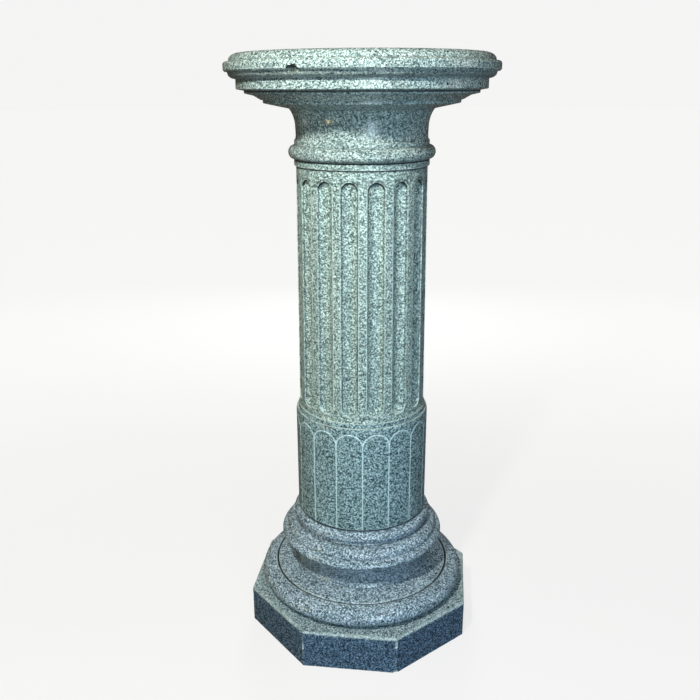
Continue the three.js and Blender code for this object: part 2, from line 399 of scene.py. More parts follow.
def math_node(tree, operation, one, other, clamp=False):
    return add_node(tree, "ShaderNodeMath", {0: one, 1: other}, operation=operation,
                    use_clamp=clamp).outputs[0]


def add_share(tree, total, value, share):
    return math_node(tree, "ADD", total, math_node(tree, "MULTIPLY", value, share))


def ramp_node(tree, value, stops):
    ramp = add_node(tree, "ShaderNodeValToRGB", {"Fac": value})
    elements = ramp.color_ramp.elements
    while len(elements) < len(stops):
        elements.new(0.5)
    for element, (position, colour) in zip(elements, stops):
        element.position = position
        element.color = (*colour, 1)
    return ramp.outputs["Color"]


def mix_colours(tree, factor, one, other):
    node = add_node(tree, "ShaderNodeMix", data_type="RGBA")
    tree.links.new(factor, node.inputs["Factor"])
    for socket, value in ((node.inputs[6], one), (node.inputs[7], other)):
        if isinstance(value, bpy.types.NodeSocket):
            tree.links.new(value, socket)
        else:
            socket.default_value = (*value, 1)
    return node.outputs[2]


# %% The crystals
CRYSTAL_SCALE = 620
CRYSTAL_WEIGHT = 0.74
RIPPLE_SCALE = 300
RAGGED = 1.8 * MM
GROUND_COLOUR = (0.174, 0.260, 0.248)
SHADES = (
    (0.20, (0.14, 0.18, 0.20)),
    (0.35, (0.52, 0.58, 0.60)),
    (0.50, (1.0, 1.0, 1.0)),
    (0.65, (1.9, 1.75, 1.7)),
    (0.80, (3.4, 2.9, 2.8)),
)


def tinted(colour, tint):
    return tuple(value * share for value, share in zip(colour, tint))


def noise_at(tree, place, scale, detail, roughness=0.55):
    inputs = {"Vector": place, "Scale": scale, "Detail": detail, "Roughness": roughness}
    return add_node(tree, "ShaderNodeTexNoise", inputs).outputs["Fac"]


def vector_node(tree, operation, one, other):
    return add_node(tree, "ShaderNodeVectorMath", {0: one, 1: other}, operation=operation).outputs[0]


def crystals(tree, place):
    """A random shade from 0 to 1 for each crystal, with ragged borders between them."""
    ripple = add_node(tree, "ShaderNodeTexNoise", {"Vector": place, "Scale": RIPPLE_SCALE, "Detail": 1})
    centred = vector_node(tree, "SUBTRACT", ripple.outputs["Color"], (0.5, 0.5, 0.5))
    ragged = vector_node(tree, "ADD", place, vector_node(tree, "MULTIPLY", centred, (RAGGED,) * 3))
    cells = add_node(tree, "ShaderNodeTexVoronoi", {"Vector": ragged, "Scale": CRYSTAL_SCALE})
    return add_node(tree, "ShaderNodeSeparateColor", {0: cells.outputs["Color"]}).outputs[0]


print("crystals to the centimetre:", CRYSTAL_SCALE / 100)

# %% The stone's pattern
CLOUDS = ((13, 3, 0.09), (60, 2, 0.08), (170, 1, 0.09))
SPOT_SCALE = 230
SPOT_LEVEL = 0.68
SPOT_EDGE = 14
SPOT_COLOUR = (0.010, 0.022, 0.022)


def mottle(tree, place, crystal):
    """The crystals' shades, gathered by three sizes of noise into faint clouds."""
    total = math_node(tree, "MULTIPLY", crystal, CRYSTAL_WEIGHT)
    for scale, detail, weight in CLOUDS:
        total = add_share(tree, total, noise_at(tree, place, scale, detail), weight)
    return total


def stone_colour(tree, place, total, tint, contrast):
    """The ramp of shades, with a few dark spots on it."""
    ground = tinted(GROUND_COLOUR, tint)
    shades = [(at, tuple(value ** contrast for value in shade)) for at, shade in SHADES]
    stone = ramp_node(tree, total, [(at, tinted(ground, shade)) for at, shade in shades])
    above = math_node(tree, "SUBTRACT", noise_at(tree, place, SPOT_SCALE, 1), SPOT_LEVEL)
    return mix_colours(tree, math_node(tree, "MULTIPLY", above, SPOT_EDGE, clamp=True), stone, SPOT_COLOUR)


# %% [markdown]
# The wear and painted shade come from two attributes. The first holds the wear and painted shade, and is read
# as it is. The second, from_arris, is a distance, and draws the flutes' arrises sharper than their vertices
# could:
# it is 2 on the arris, 3 at ARRIS_REACH inside the flute and 1 as far outside. Each line has its place on
# that scale, its half-width and its strength: the line on the arris is rubbed pale, and the dark line just
# inside it is painted shade on the flute's wall. Rubbing comes in patches, and whitens pale crystals more
# than dark ones.

# %% The nodes for wear and painted shade
ARRIS_REACH = 6 * MM
# On each flute's arris a rubbed pale line, and just inside it a dark line of painted shade.
ARRIS_WEAR_AND_SHADE_LINES = ((1.98, 0.22, 1.6), (2.38, 0.2, -0.7))
PATCH_SCALE = 48
PATCH_SHARE = 1.8
WEAR_SHARE = 1.1
RUBBED_LEVEL = 1.4
RUBBED_CONTRAST = 1.4
PALE_CRYSTAL_SHARE = 0.6
DUST_AND_SHADE_SHARE = 0.95
# The colour of rubbed stone, and of the painted light at the flutes' feet.
WORN_AND_PAINTED_LIGHT_COLOUR = (0.50, 0.62, 0.60)
# The colour of dust in creases and joints, also used as painted shade.
GRIME_AND_SHADE_COLOUR = (0.008, 0.013, 0.014)


def wear_and_shade_nodes(tree):
    """The wear and painted shade attribute, with the flutes' rubbed lines and lines of painted shade added to
    it.
    """
    wear_and_shade = add_node(tree, "ShaderNodeAttribute", attribute_name="wear_and_shade").outputs["Fac"]
    from_arris = add_node(tree, "ShaderNodeAttribute", attribute_name="from_arris").outputs["Fac"]
    for place_of_line, width, strength in ARRIS_WEAR_AND_SHADE_LINES:
        away = math_node(tree, "ABSOLUTE", math_node(tree, "SUBTRACT", from_arris, place_of_line), 0)
        line = math_node(tree, "SUBTRACT", 1.0, math_node(tree, "DIVIDE", away, width), clamp=True)
        wear_and_shade = add_share(tree, wear_and_shade, line, strength)
    return wear_and_shade


def rubbed_and_painted_light_share(tree, place, wear_and_shade, crystal, worn):
    """How far the stone is made pale, from 0 to 1: rubbed arrises, and painted light at the flutes' feet."""
    rubbed_and_painted_light = add_share(tree, worn, wear_and_shade, WEAR_SHARE)
    rubbed_and_painted_light = add_share(tree, rubbed_and_painted_light, noise_at(tree, place, PATCH_SCALE, 3, 0.7), PATCH_SHARE)
    rubbed_and_painted_light = math_node(tree, "SUBTRACT", rubbed_and_painted_light, RUBBED_LEVEL)
    rubbed_and_painted_light = math_node(tree, "MULTIPLY", rubbed_and_painted_light, RUBBED_CONTRAST, clamp=True)
    speckled = add_share(tree, 1 - PALE_CRYSTAL_SHARE, crystal, PALE_CRYSTAL_SHARE)
    return math_node(tree, "MULTIPLY", rubbed_and_painted_light, speckled)


# %% The speckled marble
HONED_ROUGHNESS = 0.36
POLISH = 0.18
RUBBED_ROUGHNESS = 0.3
CRYSTAL_ROUGHNESS = 0.12
DUST_ROUGHNESS = 0.4
RELIEF_STRENGTH = 0.06
RELIEF = 0.3 * MM
MARBLE_IOR = 1.55


def marble(name, shift, tint=(1, 1, 1), worn=0.0, gloss=1.0, contrast=1.0):
    """Polished green marble. shift moves the pattern, tint colours it and worn whitens all of it."""
    material = bpy.data.materials.new(name)
    material.use_nodes = True
    tree = material.node_tree
    shader = tree.nodes["Principled BSDF"]
    coordinates = add_node(tree, "ShaderNodeTexCoord").outputs["Object"]
    place = add_node(tree, "ShaderNodeMapping", {"Vector": coordinates, "Location": shift}).outputs[0]

    crystal = crystals(tree, place)
    total = mottle(tree, place, crystal)
    wear_and_shade = wear_and_shade_nodes(tree)
    rubbed_and_painted_light = rubbed_and_painted_light_share(tree, place, wear_and_shade, crystal, worn)
    # Dust and painted shade darken the stone where the value is below nought.
    dust_and_shade = math_node(tree, "MULTIPLY", wear_and_shade, -DUST_AND_SHADE_SHARE, clamp=True)
    colour = mix_colours(tree, rubbed_and_painted_light, stone_colour(tree, place, total, tint, contrast), WORN_AND_PAINTED_LIGHT_COLOUR)
    colour = mix_colours(tree, dust_and_shade, colour, GRIME_AND_SHADE_COLOUR)
    tree.links.new(colour, shader.inputs["Base Color"])

    matt = add_share(tree, HONED_ROUGHNESS - POLISH * gloss, rubbed_and_painted_light, RUBBED_ROUGHNESS)
    matt = add_share(tree, matt, crystal, CRYSTAL_ROUGHNESS)
    tree.links.new(add_share(tree, matt, dust_and_shade, DUST_ROUGHNESS), shader.inputs["Roughness"])
    relief = {"Height": total, "Strength": RELIEF_STRENGTH, "Distance": RELIEF}
    tree.links.new(add_node(tree, "ShaderNodeBump", relief).outputs[0], shader.inputs["Normal"])
    shader.inputs["IOR"].default_value = MARBLE_IOR
    return material


# %% [markdown]
# The plinth's sides are the darkest and bluest, and the capital is the palest stone. The plinth's dark blue
# sides and the darker, bluer drum under the flutes are painted shade. The shaft is honed, not polished, so it
# mirrors least. Lines and fresh breaks show pale stone that was never polished, and some breaks are painted
# nearly black as painted shadow.

# %% The marble of each stone
plinth_shift, shaft_shift = (0.31, 0.72, 0.15), (2.18, 1.27, 0.94)
# The sides' dark blue tint is painted shade on the plinth's stone.
shaded_plinth_marble = marble("polished plinth with painted shade", plinth_shift, (0.31, 0.39, 0.60))
plinth_top_marble = marble("honed plinth top", plinth_shift, (1.02, 1.0, 1.14), gloss=0.6)
base_marble = marble("polished base", (1.43, 0.36, 0.52), (1.0, 0.98, 1.2))
# The drum is the shaft's stone, tinted darker and bluer as painted shade.
shaded_drum_marble = marble("polished drum with painted shade", shaft_shift, (0.76, 0.84, 0.94), gloss=0.8)
shaft_marble = marble("honed shaft", shaft_shift, gloss=0.2)
capital_marble = marble("polished capital", (0.67, 2.31, 1.48), (1.10, 1.03, 1.05), contrast=0.8)
line_marble = marble("scratched lines", (1.1, 0.4, 0.8), (2.9, 2.6, 2.8), worn=0.8, gloss=0, contrast=0.4)
broken_marble = marble("broken marble", (0.4, 1.9, 0.3), (1.6, 1.6, 1.7), worn=0.7, gloss=0)
# Nearly black breaks: painted shadow in the notches.
shadowed_break_marble = marble("break with painted shadow", (0.9, 0.7, 1.3), (0.16, 0.17, 0.17), gloss=0)
print("materials:", [material.name for material in bpy.data.materials])

# %% [markdown]
# ## Chips
# A knock takes a shallow shell off an arris. Some breaks are fresh and pale, and others are painted nearly
# black as painted shadow in the notch.
# A small ball with a rough surface is cut out at each knock, and its own material goes onto the cut faces.

# %% A cutter for one chip
CHIP_ROUGHNESS = 0.35
CHIP_GRAIN = 1.6
CHIP_SHIFT = 9


def chip_cutter(place, size, seed, material=broken_marble):
    """A rough ball with the three half-sizes of size: out from the axis, along the edge, and up."""
    start_clean()
    bpy.ops.mesh.primitive_ico_sphere_add(subdivisions=3, radius=1)
    chip = bpy.context.object
    draw = random.Random(seed)
    shift = Vector([draw.uniform(0, CHIP_SHIFT) for _ in range(3)])
    for vertex in chip.data.vertices:
        vertex.co *= 1 + CHIP_ROUGHNESS * noise.noise(vertex.co * CHIP_GRAIN + shift)
    radius, angle, height = place
    chip.data.transform(Matrix.Diagonal((*size, 1)))
    chip.data.transform(Matrix.Translation((radius, 0, height)))
    chip.data.transform(Matrix.Rotation(angle, 4, "Z"))
    chip.data.materials.append(material)
    return chip


# %% [markdown]
# ## The turned stones
# The base and the capital are spun from the outlines of their CAD solids, with the curves refined and the
# arrises softened.

# %% Make a turned stone
SHARP_SHADING = math.radians(32)


def finish_stone(piece, node):
    """Shades the stone, and tells the frame what it stands for."""
    activate(piece)
    bpy.ops.object.shade_smooth_by_angle(angle=SHARP_SHADING)
    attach(piece, "root")
    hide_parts(node)
    triangles = sum(len(face.vertices) - 2 for face in piece.data.polygons)
    print(piece.name, "has", triangles, "triangles")


def turned_stone(name, node, material, joint_dust_and_shade, painted_shade_band, chips=(), joint_on_top=True):
    """A stone spun from its CAD outline. The band of painted shade gives two heights and how dark the shade
    is.
    """
    outline = with_dust_and_shade_at_ends(softened(curved(cad_outlines[node])), joint_dust_and_shade, joint_on_top)
    outline = with_painted_shade_band(outline, *painted_shade_band)
    piece = spun(name, [point for point, _ in outline])
    piece.data.materials.append(material)
    cut(piece, [chip_cutter(*chip) for chip in chips])
    write_attribute(piece, "wear_and_shade", wear_and_shade_along(outline))
    finish_stone(piece, node)


# %% The base
BASE_JOINT_DUST_AND_SHADE = 3 * MM
# The base's hollow is painted darker: painted shade.
HOLLOW_PAINTED_SHADE = (119 * MM, 168 * MM, 0.28)
turned_stone("turned_base_stone", "turned_base", base_marble, BASE_JOINT_DUST_AND_SHADE, HOLLOW_PAINTED_SHADE)

# %% [markdown]
# The capital's top slab has a deep chip in its lower edge, left of the middle, whose dark break is painted
# shadow, with a pale scar on the fillet below it, and two small nicks on the right, also painted dark. The
# photograph's camera stands CAMERA_SIDE degrees to the right of -Y.

# %% The capital
CAMERA_SIDE = 6.18
SLAB_HEIGHT = 27.4 * MM


def bearing(degrees_from_front):
    """The polar angle of a place seen that far to the right of the column's middle in the photograph."""
    return math.radians(CAMERA_SIDE - 90 + degrees_from_front)


slab_edge = cad_box[1].x
slab_foot = cad_box[1].z - SLAB_HEIGHT
slab_chips = [
    ((slab_edge - 1 * MM, bearing(-26), slab_foot + 0.5 * MM), (6 * MM, 11 * MM, 6 * MM), 3, shadowed_break_marble),
    ((slab_edge - 10 * MM, bearing(-25), slab_foot - 8.5 * MM), (3 * MM, 8 * MM, 2 * MM), 4),
    ((slab_edge - 0.5 * MM, bearing(3), slab_foot), (2.5 * MM, 4 * MM, 2.5 * MM), 5, shadowed_break_marble),
    ((slab_edge - 0.5 * MM, bearing(14), slab_foot), (2.5 * MM, 5 * MM, 2 * MM), 8, shadowed_break_marble),
]
# The capital's foot is darkened: joint dust and painted shade.
CAPITAL_JOINT_DUST_AND_SHADE = 5 * MM
# The fillet under the slab is painted darker: painted shade.
slab_fillet_painted_shade = (slab_foot - 9.5 * MM, slab_foot - 0.5 * MM, 0.35)
turned_stone("capital_stone", "capital", capital_marble, CAPITAL_JOINT_DUST_AND_SHADE,
             slab_fillet_painted_shade, slab_chips, joint_on_top=False)

# %% [markdown]
# ## The fluted shaft
# The mason turned the shaft first, then sank 16 round-ended flutes and scratched a row of round-headed
# arches into the drum below them. The same order works here: the outline is spun, and the flutes and lines
# are cut with booleans. Sculpting them into a dense mesh would blur the arrises.

# %% The turned outline of the shaft
DRUM_RADIUS = 119.2 * MM
DRUM_HEIGHT = 187.4 * MM
FOOT_CHAMFER = 2.2 * MM
SHOULDER_HEIGHT = 9 * MM
FILLET_HEIGHT = 8.2 * MM
FOOT_CURVE_HEIGHT = 10.6 * MM
RING_HEIGHT = 9 * MM
SHOULDER_RADIUS = DRUM_RADIUS - 4 * MM
FILLET_RADIUS = SHOULDER_RADIUS - 0.7 * MM
SHAFT_FOOT_RADIUS = FILLET_RADIUS - 2.4 * MM
SHAFT_TOP_RADIUS = SHAFT_FOOT_RADIUS - 3.3 * MM
RING_RADIUS = SHAFT_TOP_RADIUS + 3.1 * MM
shaft_foot, shaft_top = [corner.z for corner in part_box("fluted_shaft")]
drum_top = shaft_foot + DRUM_HEIGHT
shoulder_top = drum_top + SHOULDER_HEIGHT
fillet_top = shoulder_top + FILLET_HEIGHT
flute_foot = fillet_top + FOOT_CURVE_HEIGHT
ring_foot = shaft_top - RING_HEIGHT
shaft_outline = [Vector(point) for point in (
    (0, shaft_foot),
    (DRUM_RADIUS - FOOT_CHAMFER, shaft_foot),
    (DRUM_RADIUS, shaft_foot + FOOT_CHAMFER),
    (DRUM_RADIUS, drum_top),
    (DRUM_RADIUS - 0.3 * MM, drum_top + 5.5 * MM),  # the shoulder rounds over to its top
    (DRUM_RADIUS - 1.2 * MM, shoulder_top),
    (SHOULDER_RADIUS, shoulder_top + 0.2 * MM),
    (FILLET_RADIUS, fillet_top),
    (FILLET_RADIUS - 1 * MM, fillet_top),
    (FILLET_RADIUS - 2 * MM, fillet_top + 3.1 * MM),  # a small hollow leads up to the flutes
    (SHAFT_FOOT_RADIUS, flute_foot),
    (SHAFT_TOP_RADIUS, ring_foot),
    (RING_RADIUS, ring_foot),
    (RING_RADIUS, shaft_top),
    (0, shaft_top),
)]
print("drum top, shoulder top and fillet top:", [round(z, 4) for z in (drum_top, shoulder_top, fillet_top)])


# %% Divide long stretches
def divided(points, longest):
    """The outline with its long upright stretches divided, so that cuts leave small faces."""
    fine = [points[0]]
    for here, there in zip(points, points[1:]):
        upright = abs(there.y - here.y)
        count = max(1, math.ceil(upright / longest))
        fine += [here.lerp(there, step / count) for step in range(1, count + 1)]
    return fine


# %% [markdown]
# A flute is an arc in section. Its cutter is a long bar with round ends, whose radius makes the cut as wide
# and as deep as the flute, and it leans inwards with the taper of the shaft.

# %% The cutter for the flutes
FLUTES = 16
FLUTE_WIDTH = 30 * MM
FLUTE_DEPTH = 9 * MM
FLUTE_TOP_MARGIN = 17.5 * MM
FLUTE_TURN = math.radians(-4.2)
FLUTE_END_STEPS = 14
FLUTE_SIDES = 96
FLUTE_STRETCH = 40 * MM
pitch = math.tau / FLUTES
flute_turns = [FLUTE_TURN + i * pitch for i in range(FLUTES)]
flute_low = flute_foot + FLUTE_WIDTH / 2
flute_high = ring_foot - FLUTE_TOP_MARGIN - FLUTE_WIDTH / 2


def shaft_radius(height):
    share = (height - flute_foot) / (ring_foot - flute_foot)
    return SHAFT_FOOT_RADIUS + (SHAFT_TOP_RADIUS - SHAFT_FOOT_RADIUS) * share


def flute_cutter():
    """A round-ended bar that leans with the taper, at bearing zero."""
    bar = (FLUTE_WIDTH ** 2 / 4 + FLUTE_DEPTH ** 2) / (2 * FLUTE_DEPTH)
    half, middle = (flute_high - flute_low) / 2, (flute_low + flute_high) / 2
    quarter = [math.radians(90 * i / FLUTE_END_STEPS) for i in range(FLUTE_END_STEPS + 1)]
    lower = [Vector((bar * math.sin(angle), -half - bar * math.cos(angle))) for angle in quarter]
    upper = [Vector((bar * math.cos(angle), half + bar * math.sin(angle))) for angle in quarter]
    cutter = spun("flute cutter", divided(lower + upper, FLUTE_STRETCH), steps=FLUTE_SIDES)
    lean = math.atan2(shaft_radius(flute_low) - shaft_radius(flute_high), flute_high - flute_low)
    cutter.data.transform(Matrix.Rotation(-lean, 4, "Y"))
    cutter.data.transform(Matrix.Translation((shaft_radius(middle) + bar - FLUTE_DEPTH, 0, middle)))
    cutter.data.materials.append(shaft_marble)
    return cutter


print("flutes run from", round(flute_foot, 4), "to", round(ring_foot - FLUTE_TOP_MARGIN, 4))

# %% [markdown]
# The arches are scratched lines, not mouldings. A torus cut in half is the head of one arch, bent round the
# drum, and a thin cylinder is the line between two arches. They could be drawn in the material, but a real
# groove catches the light.

# %% The cutters for the arches
LINE_RADIUS = 1.1 * MM
LINE_SIDES = 8
ARCH_STEPS = 96
UPRIGHT_SIDES = 10
ARCH_CLEARANCE = 0.4 * MM
ARCH_RADIUS = DRUM_RADIUS * math.sin(pitch / 2)
springing = drum_top - ARCH_CLEARANCE - LINE_RADIUS - ARCH_RADIUS


def wrap_round_drum(piece):
    """Bends a flat cutter round the drum. It stands at bearing zero, X is its depth and Y runs across."""
    for vertex in piece.data.vertices:
        across = vertex.co.y
        turn = math.asin(max(-1.0, min(1.0, across / DRUM_RADIUS)))
        reach = DRUM_RADIUS + vertex.co.x
        vertex.co.x = reach * math.cos(turn)
        vertex.co.y = reach * math.sin(turn)


def arch_cutter():
    """A round bar bent to the head of one arch, at bearing zero."""
    start_clean()
    bpy.ops.mesh.primitive_torus_add(major_radius=ARCH_RADIUS, minor_radius=LINE_RADIUS,
                                     major_segments=ARCH_STEPS, minor_segments=LINE_SIDES,
                                     rotation=(0, math.pi / 2, 0))
    cutter = bpy.context.object
    apply_place(cutter)
    bpy.ops.object.mode_set(mode="EDIT")
    bpy.ops.mesh.select_all(action="SELECT")
    bpy.ops.mesh.bisect(plane_co=(0, 0, -LINE_RADIUS), plane_no=(0, 0, 1), use_fill=True, clear_inner=True)
    bpy.ops.object.mode_set(mode="OBJECT")
    wrap_round_drum(cutter)
    cutter.data.transform(Matrix.Translation((0, 0, springing)))
    cutter.data.materials.append(line_marble)
    return cutter


def upright_cutter():
    """A round bar for the line between two arches, at bearing zero."""
    foot = shaft_foot + FOOT_CHAMFER
    start_clean()
    bpy.ops.mesh.primitive_cylinder_add(vertices=UPRIGHT_SIDES, radius=LINE_RADIUS, depth=springing - foot,
                                        location=(DRUM_RADIUS, 0, (springing + foot) / 2))
    cutter = bpy.context.object
    apply_place(cutter)
    cutter.data.materials.append(line_marble)
    return cutter


print("the arches stand", round(springing + ARCH_RADIUS - shaft_foot, 4), "high")

# %% [markdown]
# Two numbers at every vertex carry the flutes' marks to the marble. One is the wear and painted shade, as on
# the turned stones, with painted shade under each flute's head and painted light at its foot. The other says
# where the vertex lies across an arris, so that the marble can draw a thin rubbed line there, and a line of
# painted shade inside it, finer than the mesh.

# %% Wear, painted shade and painted light on the shaft
# Painted light at the flutes' feet.
FOOT_PAINTED_LIGHT = 0.8


def inside_flute(place):
    """How far a place lies inside the outline of the nearest flute, below 0 outside it."""
    turn = (math.atan2(place.y, place.x) - FLUTE_TURN + pitch / 2) % pitch - pitch / 2
    across = math.hypot(place.x, place.y) * math.sin(turn)
    past_end = max(flute_low - place.z, 0) + max(place.z - flute_high, 0)
    return FLUTE_WIDTH / 2 - math.hypot(across, past_end)


def flute_painted_shade_and_light(place):
    """Painted shade under a flute's head and painted light at its foot, both fading out inwards from its
    arris.
    """
    inside = inside_flute(place)
    if inside < 0:
        return 0.0
    near_skin = max(0.0, 1 - inside / ARRIS_REACH)
    past_foot, past_head = flute_low - place.z, max(place.z - flute_high, 0.0)
    if past_foot > 0:
        return FOOT_PAINTED_LIGHT * near_skin * min(1.0, past_foot / ARRIS_REACH)
    return -near_skin * min(1.0, past_head / ARRIS_REACH)


def from_arris(place):
    """The second number: 2 on an arris, 3 well inside a flute, 1 well outside, and none beyond the flutes."""
    if not flute_foot - ARRIS_REACH < place.z < ring_foot:
        return None
    return 2 + max(-1.0, min(1.0, inside_flute(place) / ARRIS_REACH))


in_a_flute = Matrix.Rotation(FLUTE_TURN, 4, "Z") @ Vector((shaft_radius(flute_low), 0, flute_low))
print("a flute's middle is", round(inside_flute(in_a_flute), 4), "inside its outline")

# %% Make the shaft
SHAFT_JOINT_DUST_AND_SHADE = 1.2 * MM
LONGEST_STRETCH = 14 * MM
SHOULDER_LINE_RISE = 0.1 * MM


def cut_shaft(piece):
    """Cuts the flutes, and the arches in two turns, because neighbours touch."""
    flute, arch, upright = flute_cutter(), arch_cutter(), upright_cutter()
    between = [turn + pitch / 2 for turn in flute_turns]
    cut(piece, [
        turned_copies(flute, flute_turns),
        turned_copies(arch, flute_turns[0::2]),
        turned_copies(arch, flute_turns[1::2]),
        turned_copies(upright, between),
    ])
    for pattern in (flute, arch, upright):
        bpy.data.objects.remove(pattern)


def give_drum_its_shaded_marble(piece):
    """Paints shade: the skin below the fillet's top gets the darker drum marble. The cut faces keep the
    cutters' marble.
    """
    drum_slot = len(piece.data.materials)
    piece.data.materials.append(shaded_drum_marble)
    for face in piece.data.polygons:
        if face.material_index == 0 and face.center.z < fillet_top:
            face.material_index = drum_slot


def fluted_shaft():
    outline = with_dust_and_shade_at_ends(softened(curved(divided(shaft_outline, LONGEST_STRETCH))), SHAFT_JOINT_DUST_AND_SHADE)
    for height in (shoulder_top + SHOULDER_LINE_RISE, fillet_top):
        outline = with_worn_line(outline, height)
    piece = spun("fluted_shaft_stone", [point for point, _ in outline])
    piece.data.materials.append(shaft_marble)
    cut_shaft(piece)
    turned_wear_and_shade = wear_and_shade_along(outline)

    def wear_and_shade_at(place):
        fluted = flute_foot < place.z < ring_foot - FLUTE_TOP_MARGIN / 2
        return flute_painted_shade_and_light(place) if fluted else turned_wear_and_shade(place)

    write_attribute(piece, "wear_and_shade", wear_and_shade_at)
    write_attribute(piece, "from_arris", from_arris)
    give_drum_its_shaded_marble(piece)
    finish_stone(piece, "fluted_shaft")


fluted_shaft()

# %% [markdown]
# ## The plinth
# The plinth is sawn from a slab, so it is the only stone with flat sides. It starts as a cylinder with eight
# sides. Bevels take its arrises off, insets leave narrow margins for the wear, and the fine mesh between
# them is pushed in a little where the arrises have been knocked.

# %% Make the plinth
plinth_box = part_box("octagonal_plinth")
PLINTH_SIDES = 8
TOP_CHAMFER = 4.5 * MM
SIDE_ARRIS = 1.3 * MM
MARGIN = 3.5 * MM
TINY = 0.01 * MM
LEAST_SIDE_AREA = 0.003
plinth_height = plinth_box[1].z - plinth_box[0].z
plinth_flat = plinth_box[1].x
plinth_corner = plinth_flat / math.cos(math.pi / PLINTH_SIDES)


def select_edges(piece, wanted):
    """Selects the edges for which wanted(one end, other end) is true, and leaves edge mode on."""
    bpy.ops.mesh.select_mode(type="EDGE")
    bpy.ops.mesh.select_all(action="DESELECT")
    bpy.ops.object.mode_set(mode="OBJECT")
    points = piece.data.vertices
    for edge in piece.data.edges:
        ends = [points[i].co for i in edge.vertices]
        edge.select = wanted(*ends)
    bpy.ops.object.mode_set(mode="EDIT")


def plinth():
    start_clean()
    bpy.ops.mesh.primitive_cylinder_add(vertices=PLINTH_SIDES, radius=plinth_corner, depth=plinth_height,
                                        location=(0, 0, plinth_height / 2),
                                        rotation=(0, 0, math.pi / PLINTH_SIDES))
    piece = bpy.context.object
    piece.name = piece.data.name = "plinth_stone"
    apply_place(piece)
    bpy.ops.object.mode_set(mode="EDIT")
    select_edges(piece, lambda one, other: min(one.z, other.z) > plinth_height - TINY)
    bpy.ops.mesh.bevel(offset=TOP_CHAMFER, offset_type="WIDTH", segments=1)
    select_edges(piece, lambda one, other: max(one.z, other.z) < TINY)
    bpy.ops.mesh.bevel(offset=SIDE_ARRIS, segments=2)
    select_edges(piece, lambda one, other: abs(one.z - other.z) > plinth_height / 2)
    bpy.ops.mesh.bevel(offset=SIDE_ARRIS, segments=2)
    bpy.ops.mesh.select_mode(type="FACE")
    bpy.ops.mesh.select_all(action="DESELECT")
    bpy.ops.object.mode_set(mode="OBJECT")
    for face in piece.data.polygons:
        face.select = face.area > LEAST_SIDE_AREA
    bpy.ops.object.mode_set(mode="EDIT")
    bpy.ops.mesh.inset(thickness=MARGIN, use_individual=True)
    bpy.ops.object.mode_set(mode="OBJECT")
    return piece


plinth_stone = plinth()
print("plinth faces", len(plinth_stone.data.polygons))

# %% [markdown]
# The long margins are cut into short lengths, so that the wear can come and go along an arris. The wear
# falls off from the arris to the inner edge of the margin, and a knock also moves the stone inwards.

# %% Wear the plinth's arrises
SUBDIVISIONS = 4
KNOCK_DEPTH = 1.1 * MM
KNOCK_LENGTH = 14 * MM
FINE_KNOCK_LENGTH = KNOCK_LENGTH / 3
FINE_KNOCKS = 0.5
KNOCK_DROP = 0.8
FLOOR_BAND = 0.2 * MM


def plinth_arris_distance(place):
    """How far a point of the plinth's skin is from the nearest arris."""
    turn = math.atan2(place.y, place.x)
    step = math.tau / PLINTH_SIDES
    from_middle = (turn + step / 2) % step - step / 2
    reach = math.hypot(place.x, place.y)
    flat, along = reach * math.cos(from_middle), abs(reach * math.sin(from_middle))
    to_side = plinth_flat - flat
    to_corner = plinth_flat * math.tan(step / 2) - along
    to_top = plinth_height - place.z
    to_foot = place.z
    if to_top < TOP_CHAMFER and to_side < TOP_CHAMFER:
        return 0.0
    if to_side < SIDE_ARRIS:
        return min(to_corner, max(0.0, to_top - TOP_CHAMFER), to_foot)
    return max(0.0, to_side - TOP_CHAMFER)


def divide_skin(piece):
    """Makes the skin even: quads first, and then each of them divided again and again."""
    activate(piece)
    bpy.ops.object.mode_set(mode="EDIT")
    bpy.ops.mesh.select_all(action="SELECT")
    bpy.ops.mesh.quads_convert_to_tris()
    bpy.ops.mesh.tris_convert_to_quads()
    bpy.ops.object.mode_set(mode="OBJECT")
    apply_modifier(piece, "SUBSURF", "divide", subdivision_type="SIMPLE", levels=SUBDIVISIONS,
                   render_levels=SUBDIVISIONS)


def knock_arrises(piece):
    """Pushes the stone in where slow noise is above nought, most of all on the arris itself."""
    for vertex in piece.data.vertices:
        place = vertex.co
        nearness = max(0.0, 1 - plinth_arris_distance(place) / MARGIN)
        knock = noise.noise(place / KNOCK_LENGTH) + FINE_KNOCKS * noise.noise(place / FINE_KNOCK_LENGTH)
        if nearness and knock > 0 and place.z > FLOOR_BAND:
            inward = Vector((-place.x, -place.y, 0)).normalized()
            if place.z > plinth_height - TOP_CHAMFER - MARGIN:
                inward.z = -KNOCK_DROP
            vertex.co += inward * (KNOCK_DEPTH * nearness * knock)


divide_skin(plinth_stone)
knock_arrises(plinth_stone)
print("plinth faces", len(plinth_stone.data.polygons))

# %% [markdown]
# The plinth's top is honed and paler than its polished sides, whose darker, bluer tint is painted shade. Two
# corners at the front are chipped, and there is a small pit in the front side.

# %% Give the plinth its marble, chips and wear
TOP_FACING = 0.4
PLINTH_WEAR = 0.8
RIGHT_CORNER = math.radians(-67.5)
LEFT_CORNER = math.radians(-112.5)
FRONT_PIT = math.radians(-86)
plinth_chips = [
    ((plinth_corner, RIGHT_CORNER, 1 * MM), (5 * MM, 5 * MM, 6 * MM), 12),
    ((plinth_corner, RIGHT_CORNER, 60 * MM), (2.5 * MM, 3 * MM, 9 * MM), 14),
    ((plinth_corner, LEFT_CORNER, 42 * MM), (2 * MM, 2.5 * MM, 8 * MM), 15),
    ((plinth_flat, FRONT_PIT, 27 * MM), (1.5 * MM, 2.5 * MM, 1.5 * MM), 16),
]


def plinth_wear(place):
    return PLINTH_WEAR * max(0.0, 1 - plinth_arris_distance(place) / MARGIN) ** 2


